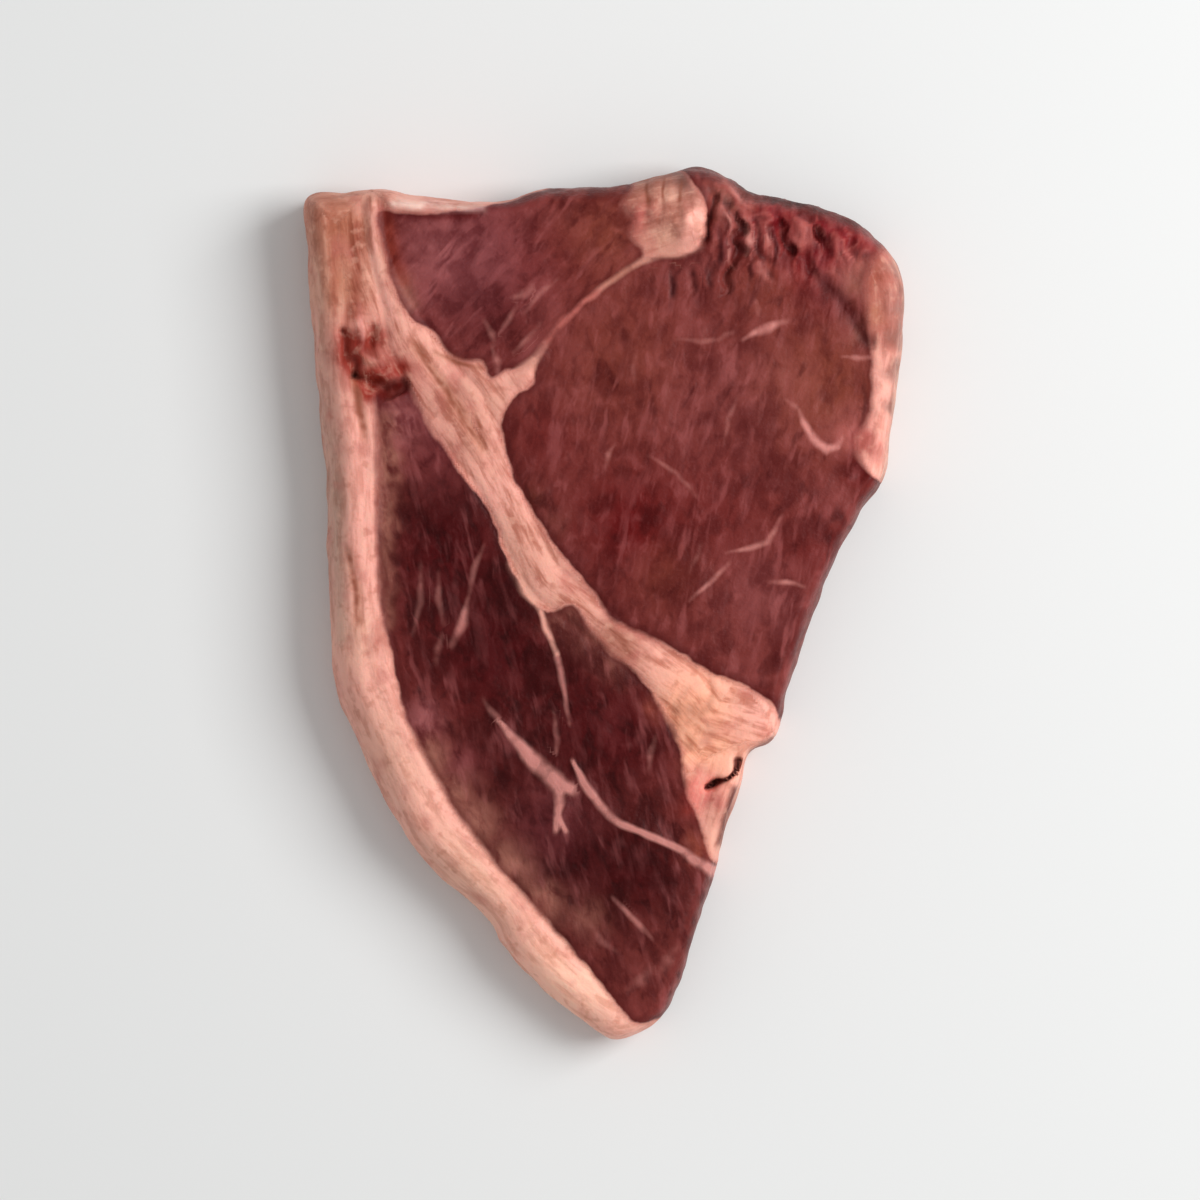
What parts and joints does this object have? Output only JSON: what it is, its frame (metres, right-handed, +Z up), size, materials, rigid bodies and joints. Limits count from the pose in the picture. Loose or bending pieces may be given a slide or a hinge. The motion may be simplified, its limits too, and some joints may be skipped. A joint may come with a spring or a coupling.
{
  "type": "raw sirloin steak",
  "caption": "Raw boneless beef steak lying flat: broad end, narrow tip, fat rind along one side, seams of fat between the muscles.",
  "frame": {"origin": "middle of the underside, at the centre of the steak's box", "axes": "+Y from the narrow tip to the broad end, +X from the fat rind to the lean side, +Z up out of the cut face"},
  "size_m": [0.138, 0.2, 0.022],
  "materials": {
    "raw_beef": "satin"
  },
  "bodies": {
    "root": {"steak": "raw_beef"}
  },
  "joints": []
}
